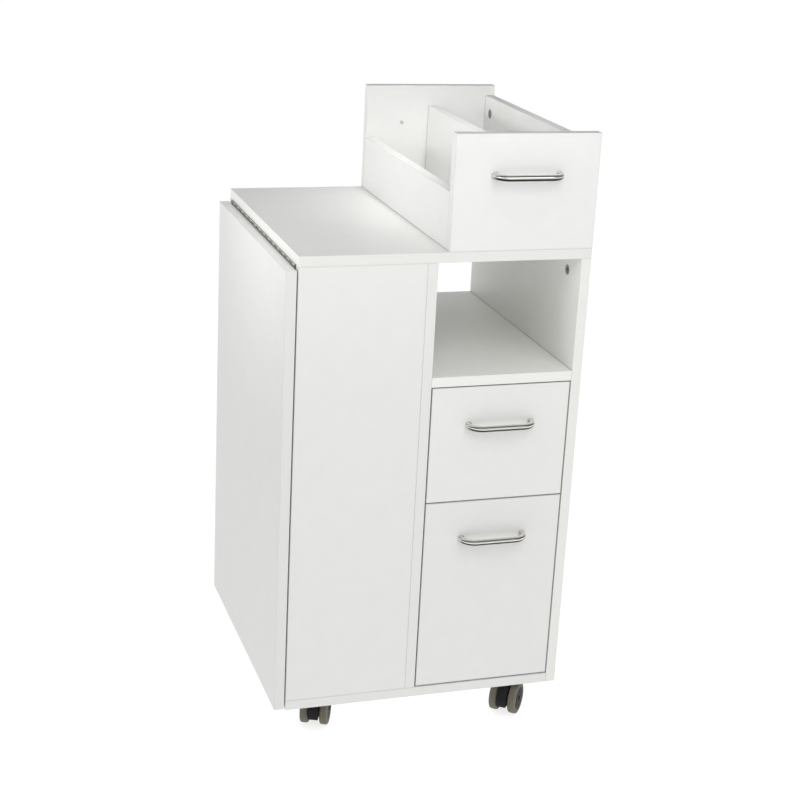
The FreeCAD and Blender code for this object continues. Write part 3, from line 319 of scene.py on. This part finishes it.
def bow_chrome():
    """Polished plate on the bow handles: painted reflection as light and dark bands that run with the bar, standing in
    for a studio mirrored in it, painted light and shade on the feet by which way they face, fine polishing lines and a
    few dull prints."""
    t = Tree("handle_chrome")
    n = sep(t, t.normal())
    # the way the bar faces round its axis: 0.5 to the front, 0.75 up, 0.25 down, 0 and 1 to the panel
    turn = t.math("ADD", t.math("MULTIPLY", t.math("ARCTAN2", n[2], t.math("MULTIPLY", n[1], -1.0)), 0.5 / math.pi), 0.5)
    # painted reflection: the bar's colour is banded by which way it faces round its axis, the feet's by facing up or
    # down
    wobble = t.math("MULTIPLY", t.math("SUBTRACT", t.noise(1.0, 2.0, 0.5, vector=stretched(t, (26.0, 240.0, 240.0))), 0.5), 0.014)
    bar_painted_reflection = t.ramp(t.math("ADD", turn, wobble), [(0.0, 0.30), (0.20, 0.01), (0.385, 0.005), (0.445, 0.012), (0.48, 0.25), (0.51, 0.99),
                                              (0.555, 0.98), (0.585, 0.05), (0.615, 0.07), (0.65, 0.46), (0.71, 0.80), (0.80, 0.76), (0.9, 0.42)])
    leg_painted_light = t.ramp(t.remap(n[2], -1.0, 1.0, 0.0, 1.0), [(0.0, 0.02), (0.16, 0.08), (0.30, 0.40), (0.50, 0.88), (0.66, 0.78), (0.84, 0.50), (1.0, 0.80)])
    col = t.mix(t.remap(t.math("ABSOLUTE", n[1]), 0.12, 0.50, 0.0, 1.0, True), leg_painted_light, bar_painted_reflection)
    line = t.noise(1.0, 3.0, 0.6, vector=stretched(t, (60.0, 2200.0, 2200.0)))
    film = t.remap(t.noise(120.0, 4.0, 0.65), 0.55, 0.78, 0.0, 1.0, True)
    col = t.vmath("MULTIPLY", col, t.mix(t.math("MULTIPLY", film, 0.25), (1.0, 0.985, 0.93), (0.86, 0.845, 0.79)))
    col = t.vmath("SCALE", col, t.remap(line, 0.3, 0.7, 0.93, 1.04))
    rough = t.math("ADD", t.remap(line, 0.3, 0.7, 0.09, 0.17), t.math("MULTIPLY", film, 0.12))
    return t.finish(col, rough, 0.70, t.bump(line, 0.000008, 0.3))


mat_handle = bow_chrome()
for n in ("box_handle", "upper_drawer_handle", "lower_drawer_handle"):
    give(n, mat_handle)


def zinc_sheet():
    """Zinc-plated sheet steel: soft crystalline patches and drawn lines along the slide."""
    t = Tree("zinc_sheet")
    cell = t.voronoi(260.0, "F1", "Color")
    bright = sep(t, cell)[0]
    drawn = t.noise(1.0, 3.0, 0.6, vector=stretched(t, (1200.0, 18.0, 1200.0)))
    c = t.math("MULTIPLY", t.remap(bright, 0.0, 1.0, 0.90, 1.04), t.remap(drawn, 0.3, 0.7, 0.93, 1.03))
    return t.finish(t.vmath("SCALE", t.mix(0.0, (0.62, 0.635, 0.65), (1, 1, 1)), c), t.math("ADD", t.remap(bright, 0.0, 1.0, 0.26, 0.40),
                    t.remap(drawn, 0.3, 0.7, -0.04, 0.05)), 1.0, t.bump(drawn, 0.00002, 0.4))


mat_zinc = zinc_sheet()
for n in ("slide_cabinet_members", "upper_slide_middle_members", "upper_slide_drawer_members", "lower_slide_middle_members",
          "lower_slide_drawer_members", "caster_plates"):
    give(n, mat_zinc)

def hinge_plate_metal(node, shade_tone):
    """The continuous hinge: rolled knuckles with painted light and shade by facing round the barrel, one bright line as
    a painted highlight, a painted shadow along the lower side of the moving leaf's knuckles, and darker bands where
    knuckles
    meet: painted shade in the gaps, with oily grime.
    """
    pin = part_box("hinge_pin")
    cx, cz, y0 = (pin[0][0] + pin[1][0]) / 2, (pin[0][2] + pin[1][2]) / 2, pin[0][1]
    pitch = (pin[1][1] - pin[0][1]) / 28
    t = Tree(f"rolled_{node}")
    p = sep(t, t.pos())
    dx, dz = t.math("SUBTRACT", p[0], float(cx)), t.math("SUBTRACT", p[2], float(cz))
    turn = t.math("ADD", t.math("MULTIPLY", t.math("ARCTAN2", dz, t.math("MULTIPLY", dx, -1.0)), 0.5 / math.pi), 0.5)
    barrel = t.remap(t.math("SQRT", t.math("ADD", t.math("MULTIPLY", dx, dx), t.math("MULTIPLY", dz, dz))), 0.00215, 0.0024, 1.0, 0.0)
    # painted light and shade by which way the barrel faces: a painted highlight line, and on the darker moving leaf a
    # painted shadow on the lower side
    lower_side_painted_light = [(0.0, 0.60), (0.30, 0.60), (0.44, 0.80), (0.54, 0.85)] if shade_tone > 0.9 else [(0.0, 0.30), (0.30, 0.004), (0.44, 0.004), (0.555, 0.006)]
    barrel_painted_light = t.ramp(turn, lower_side_painted_light + [(0.580, 0.95), (0.655, 0.96), (0.680, 0.60), (0.71, 0.42), (0.74, 0.70), (0.78, 0.96), (1.0, 0.70)])
    place = t.math("MULTIPLY", t.math("SUBTRACT", p[1], float(y0)), 1.0 / pitch)
    near = t.math("ABSOLUTE", t.math("SUBTRACT", t.math("FRACT", t.math("ADD", place, 0.5)), 0.5))
    # darker where knuckles meet: painted shade in the gaps between knuckles, with grime that also roughens them
    grime = t.remap(t.math("ADD", near, t.math("MULTIPLY", t.math("SUBTRACT", t.noise(700.0, 3.0, 0.6), 0.5), 0.06)), 0.02, 0.09, 0.45, 1.0, True)
    cloud = t.noise(260.0, 3.0, 0.55)
    col = t.vmath("SCALE", t.mix(barrel, (0.52, 0.52, 0.52), barrel_painted_light), t.math("MULTIPLY", grime, t.remap(cloud, 0.3, 0.7, 0.60 * shade_tone, 0.74 * shade_tone)))
    col = t.vmath("MULTIPLY", col, (1.0, 0.985, 0.95))
    brush = t.noise(1.0, 3.0, 0.6, vector=stretched(t, (1500.0, 90.0, 1500.0)))
    return t.finish(col, t.math("ADD", t.remap(brush, 0.25, 0.75, 0.30, 0.44), t.remap(grime, 0.45, 1.0, 0.2, 0.0)), 0.20, t.bump(brush, 0.00001, 0.35),
                    Specular_IOR_Level=0.30)


give("hinge_fixed_leaf", hinge_plate_metal("hinge_fixed_leaf", 1.0))
give("hinge_moving_leaf", hinge_plate_metal("hinge_moving_leaf", 0.90))
give("hinge_pin", plated("hinge_pin_steel", (0.45, 0.44, 0.43), 0.3, (1500.0, 60.0, 1500.0), 0.12, 0.4))
mat_screw = plated("screw_zinc", (0.62, 0.61, 0.58), 0.3, (1400.0, 1400.0, 1400.0), 0.14, 0.3)
for n in ("cabinet_screws", "hinge_fixed_screws", "hinge_leaf_screws", "upper_handle_screws", "lower_handle_screws"):
    give(n, mat_screw)
for tag in ("fl", "fr", "bl", "br"):
    give(f"caster_axle_{tag}", plated(f"axle_steel_{tag}", (0.55, 0.55, 0.55), 0.25, (700.0, 700.0, 1800.0), 0.12, 0.3))


def cast_zinc():
    t = Tree("cast_zinc")
    skin = t.noise(2600.0, 3.0, 0.6)
    blot = t.noise(420.0, 3.0, 0.6)
    c = t.math("MULTIPLY", t.remap(skin, 0.3, 0.7, 0.86, 1.05), t.remap(blot, 0.3, 0.7, 0.88, 1.05))
    return t.finish(t.vmath("SCALE", t.mix(0.0, (0.34, 0.34, 0.335), (1, 1, 1)), c), t.remap(skin, 0.3, 0.7, 0.36, 0.52), 0.9,
                    t.bump(skin, 0.00004, 0.6))


give("cam_fittings", cast_zinc())


def beech():
    t = Tree("beech")
    grain = t.noise(1.0, 5.0, 0.6, vector=stretched(t, (900.0, 160.0, 900.0)), distortion=0.6)
    fleck = t.voronoi(1500.0)
    col = t.mix(t.remap(grain, 0.3, 0.7, 0.0, 1.0), (0.60, 0.42, 0.24), (0.74, 0.57, 0.37))
    col = t.mix(t.remap(fleck, 0.0, 0.25, 0.25, 0.0), col, (0.42, 0.27, 0.14))
    return t.finish(col, t.remap(grain, 0.3, 0.7, 0.55, 0.75), 0.0, t.bump(grain, 0.0001, 0.5))


give("dowels", beech())


def powder(name, color):
    """Powder coat: orange-peel skin with a few glints."""
    t = Tree(name)
    peel = t.noise(620.0, 2.0, 0.5)
    speck = t.remap(t.voronoi(2600.0), 0.0, 0.12, 1.0, 0.0, True)
    c = t.math("ADD", t.remap(peel, 0.3, 0.7, 0.96, 1.02), t.math("MULTIPLY", speck, 0.03))
    return t.finish(t.vmath("SCALE", t.mix(0.0, color, (1, 1, 1)), c), t.remap(peel, 0.3, 0.7, 0.30, 0.42), 0.0,
                    t.bump(peel, 0.00006, 0.5))


mat_powder = powder("support_powder_coat", (0.66, 0.66, 0.655))
give("support_frame", mat_powder)
give("support_brackets", mat_powder)


def moulded(name, color, rough=0.42, grain=1900.0, scuff=0.25, **extra):
    """Moulded plastic: spark-eroded grain, flow marks and light scuffs."""
    t = Tree(name)
    g = t.noise(grain, 2.0, 0.55)
    flow = t.noise(70.0, 3.0, 0.6, distortion=1.2)
    marks = t.remap(t.noise(1.0, 3.0, 0.7, vector=stretched(t, (90.0, 90.0, 700.0))), 0.60, 0.72, 0.0, 1.0, True)
    col = t.vmath("SCALE", t.mix(0.0, color, (1, 1, 1)), t.remap(flow, 0.3, 0.7, 0.92, 1.08))
    col = t.mix(t.math("MULTIPLY", marks, scuff), col, tuple(min(1.0, c * 1.25 + 0.05) for c in color))
    r = t.math("ADD", t.remap(g, 0.3, 0.7, rough - 0.05, rough + 0.06), t.math("MULTIPLY", marks, 0.1))
    return t.finish(col, r, 0.0, t.bump(g, 0.00003, 0.5), **extra)


give("leaf_catches", moulded("catch_plastic", (0.72, 0.72, 0.71), 0.4))


def caster_of(tag):
    """Axle centre and axle direction of a caster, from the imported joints."""
    for j in frame["joints"]:
        if j["name"] == f"roll_{tag}":
            return Vector(j["pos_m"]), Vector(j["axis"]).normalized()
    raise KeyError(tag)


def wheel_material(tag):
    """Wheel by its radius: a dusty grey-brown tread with a parting line, then a near-black rim and disc with rings."""
    c, a = caster_of(tag)
    t = Tree(f"wheel_{tag}")
    rel = t.vmath("SUBTRACT", t.pos(), tuple(c))
    along = t.vmath("DOT_PRODUCT", rel, tuple(a))
    across = t.vmath("SUBTRACT", rel, t.vmath("SCALE", t.vmath("MULTIPLY", (1, 1, 1), tuple(a)), along))
    rad = t.vmath("LENGTH", across)
    off = t.math("ABSOLUTE", along)
    edge = t.noise(900.0, 2.0, 0.5)
    tread = t.remap(t.math("ADD", rad, t.math("MULTIPLY", t.math("SUBTRACT", edge, 0.5), 0.0002)), 0.0187, 0.0190, 0.0, 1.0)
    rubber = t.noise(1500.0, 3.0, 0.6)
    dust = t.remap(t.noise(240.0, 4.0, 0.65), 0.42, 0.68, 0.0, 1.0, True)
    worn = t.remap(rad, 0.0242, 0.0250, 0.0, 1.0, True)
    rings = t.math("SINE", t.math("MULTIPLY", rad, 3300.0))
    tc = t.mix(t.math("MULTIPLY", dust, 0.5), (0.145, 0.131, 0.100), (0.235, 0.214, 0.172))
    tc = t.mix(t.math("MULTIPLY", worn, 0.35), tc, (0.165, 0.150, 0.118))
    rim = t.remap(t.math("ABSOLUTE", t.math("SUBTRACT", rad, 0.0240)), 0.0, 0.0007, 1.0, 0.0, True)
    tc = t.mix(t.math("MULTIPLY", rim, 0.55), tc, (0.26, 0.245, 0.20))
    tc = t.vmath("SCALE", tc, t.remap(rubber, 0.3, 0.7, 0.90, 1.08))
    groove = t.remap(t.math("ABSOLUTE", t.math("SUBTRACT", rad, 0.0189)), 0.0, 0.0003, 1.0, 0.0, True)
    part = t.remap(t.math("ABSOLUTE", t.math("SUBTRACT", off, 0.0150)), 0.0, 0.00022, 1.0, 0.0, True)
    part = t.math("MULTIPLY", part, worn)
    hub = t.vmath("SCALE", t.mix(0.0, (0.020, 0.0195, 0.019), (1, 1, 1)), t.remap(t.noise(300.0, 3.0, 0.6), 0.3, 0.7, 0.85, 1.25))
    col = t.mix(tread, hub, tc)
    col = t.mix(t.math("MULTIPLY", t.math("ADD", groove, t.math("MULTIPLY", part, 0.5), None, True), 0.7), col, (0.012, 0.012, 0.012))
    r = t.math("ADD", t.remap(tread, 0.0, 1.0, 0.36, 0.66), t.remap(rubber, 0.3, 0.7, -0.05, 0.06))
    h = t.math("ADD", t.math("MULTIPLY", rubber, 0.5), t.math("MULTIPLY", rings, t.remap(tread, 0.0, 1.0, 0.12, 0.0)))
    h = t.math("SUBTRACT", h, t.math("ADD", groove, part))
    return t.finish(col, r, 0.0, t.bump(h, 0.00012, 0.6), Specular_IOR_Level=0.32)


mat_hood = moulded("hood_plastic", (0.014, 0.0132, 0.0145), 0.50, 1500.0, 0.10, IOR=1.28, Specular_IOR_Level=0.4)
mat_cap = moulded("cap_plastic", (0.010, 0.0098, 0.0104), 0.46, 1500.0, 0.08, IOR=1.28, Specular_IOR_Level=0.26)
for tag in ("fl", "fr", "bl", "br"):
    give(f"caster_hood_{tag}", mat_hood)
    give(f"caster_wheels_{tag}", wheel_material(tag))


# ------------------------------------------------------------------ added pieces
def mesh_object(name, bm, mat, smooth=True):
    me = bpy.data.meshes.new(name)
    bmesh.ops.recalc_face_normals(bm, faces=bm.faces)
    bm.to_mesh(me)
    bm.free()
    if smooth:
        for p in me.polygons:
            p.use_smooth = True
    o = bpy.data.objects.new(name, me)
    bpy.context.collection.objects.link(o)
    o.data.materials.append(mat)
    return o


def lathe(name, profile, centre, axis, mat, steps=64, spokes=None):
    """A turned piece: profile is (radius, height along axis) from the middle out."""
    bm = bmesh.new()
    axis = Vector(axis).normalized()
    u = axis.orthogonal().normalized()
    v = axis.cross(u)
    rings = []
    for r, h in profile:
        if r < 1e-7:
            rings.append([bm.verts.new(Vector(centre) + axis * h)])
            continue
        ring = []
        for i in range(steps):
            a = 2 * math.pi * i / steps
            hh = h + (spokes(r, a) if spokes else 0.0)
            ring.append(bm.verts.new(Vector(centre) + axis * hh + (u * math.cos(a) + v * math.sin(a)) * r))
        rings.append(ring)
    for a, b in zip(rings, rings[1:]):
        for i in range(steps):
            j = (i + 1) % steps
            if len(a) == 1:
                bm.faces.new((a[0], b[i], b[j]))
            elif len(b) == 1:
                bm.faces.new((a[i], b[0], a[j]))
            else:
                bm.faces.new((a[i], b[i], b[j], a[j]))
    return mesh_object(name, bm, mat)


# hub caps: shallow domes pressed into the wheels' outer faces, with a raised boss, five sunk bays and a blind hole at the
# back that the axle end stands in without touching
def bays(r, a):
    w = 0.5 + 0.5 * math.cos(5 * a)
    if 0.0072 < r < 0.0150:
        k = math.sin(math.pi * (r - 0.0072) / 0.0078)
        return -0.0006 * k * min(1.0, max(0.0, (w - 0.25) * 3))
    return 0.0


for tag in ("fl", "fr", "bl", "br"):
    c, a = caster_of(tag)
    for side, label in ((1, "outer_a"), (-1, "outer_b")):
        base = c + a * side * (0.0150 - 0.00075)
        prof = [(0.0, 0.0088), (0.0020, 0.0087), (0.0036, 0.0083), (0.0046, 0.0074), (0.0054, 0.0072), (0.0066, 0.0074), (0.0080, 0.0076),
                (0.0100, 0.0077), (0.0120, 0.0077), (0.0140, 0.0075), (0.0152, 0.0073), (0.0164, 0.0072), (0.0169, 0.0070), (0.0172, 0.0064),
                (0.0172, 0.0052), (0.0160, 0.0050), (0.0060, 0.0052), (0.0040, 0.0052), (0.0040, 0.0063), (0.0, 0.0063)]
        cap = lathe(f"hub_cap_{tag}_{label}", prof, base, a * side, mat_cap, 80, bays)
        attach(cap, f"wheels_{tag}")


# ------------------------------------------------------------------ floor, light, camera
def floor_material():
    t = Tree("studio_floor")
    m = t.noise(3.0, 3.0, 0.5)
    return t.finish(t.vmath("SCALE", t.mix(0.0, (0.42, 0.42, 0.42), (1, 1, 1)), t.remap(m, 0.3, 0.7, 0.99, 1.0)), 0.85, 0.0,
                    t.bump(t.noise(400.0, 2.0, 0.5), 0.00002, 0.1), Specular_IOR_Level=0.1, Emission_Color=(1.0, 1.0, 1.0, 1.0),
                    Emission_Strength=0.775)


bm = bmesh.new()
N, HALF = 24, 30.0
grid = [[bm.verts.new((-HALF + 2 * HALF * i / N, -HALF + 2 * HALF * j / N + 20.0, -0.0002)) for j in range(N + 1)] for i in range(N + 1)]
for i in range(N):
    for j in range(N):
        bm.faces.new((grid[i][j], grid[i + 1][j], grid[i + 1][j + 1], grid[i][j + 1]))
floor = mesh_object("floor", bm, floor_material(), False)

# soft studio surround: brighter overhead than toward the horizon
HORIZON, ZENITH = 0.266, 0.719
world = bpy.data.worlds.new("studio")
bpy.context.scene.world = world
world.use_nodes = True
wt = world.node_tree
bg = wt.nodes["Background"]
coord = wt.nodes.new("ShaderNodeTexCoord")
split = wt.nodes.new("ShaderNodeSeparateXYZ")
wt.links.new(coord.outputs["Generated"], split.inputs[0])
sky = wt.nodes.new("ShaderNodeMapRange")
sky.name = "sky"
wt.links.new(split.outputs["Z"], sky.inputs["Value"])
for k, v in (("From Min", 0.0), ("From Max", 1.0), ("To Min", HORIZON), ("To Max", ZENITH)):
    sky.inputs[k].default_value = v
bg.inputs[0].default_value = (1.0, 1.0, 1.0, 1.0)
wt.links.new(sky.outputs["Result"], bg.inputs[1])


def area(name, loc, target, size, power, spread=180.0, color=(1, 1, 1)):
    data = bpy.data.lights.new(name, "AREA")
    data.shape = "RECTANGLE"
    data.size, data.size_y = size
    data.energy = power
    data.color = color
    data.spread = math.radians(spread)
    o = bpy.data.objects.new(name, data)
    bpy.context.collection.objects.link(o)
    o.location = loc
    o.rotation_euler = (Vector(target) - Vector(loc)).to_track_quat("-Z", "Y").to_euler()
    return o


area("near_front", (0.1, -1.5, 1.7), (0.1, 0.0, 0.85), (1.7, 1.1), 8.25)
area("near_left", (-1.3, -0.9, 1.5), (-0.1, 0.0, 0.7), (0.8, 0.6), 1.156)
# two small soft boxes on the organiser box
area("box_left", (-1.1, -0.35, 1.0), (-0.05, 0.0, 0.83), (0.35, 0.2), 0.245, 40.0)
area("box_top", (0.10, -0.50, 1.75), (0.11, 0.05, 0.82), (0.15, 0.15), 0.164, 26.0)

cam_data = bpy.data.cameras.new("camera")
cam = bpy.data.objects.new("camera", cam_data)
bpy.context.collection.objects.link(cam)
rot = Matrix(((0.95260149, 0.05286632, -0.29959232), (-0.30023506, 0.32226151, -0.89777861), (0.04908482, 0.94517336, 0.32285911)))
m = rot.to_4x4()
m.translation = Vector((-0.76511926, -2.34249683, 1.30267745))
cam.matrix_world = m
cam_data.sensor_fit = "HORIZONTAL"
cam_data.sensor_width = 36.0
cam_data.lens = 1680.8712 / 800.0 * 36.0
cam_data.clip_start = 0.05
bpy.context.scene.camera = cam

bpy.context.scene.view_settings.view_transform = "Standard"
bpy.context.scene.view_settings.look = "None"
bpy.context.scene.view_settings.exposure = 0.0
bpy.context.scene.view_settings.gamma = 1.0
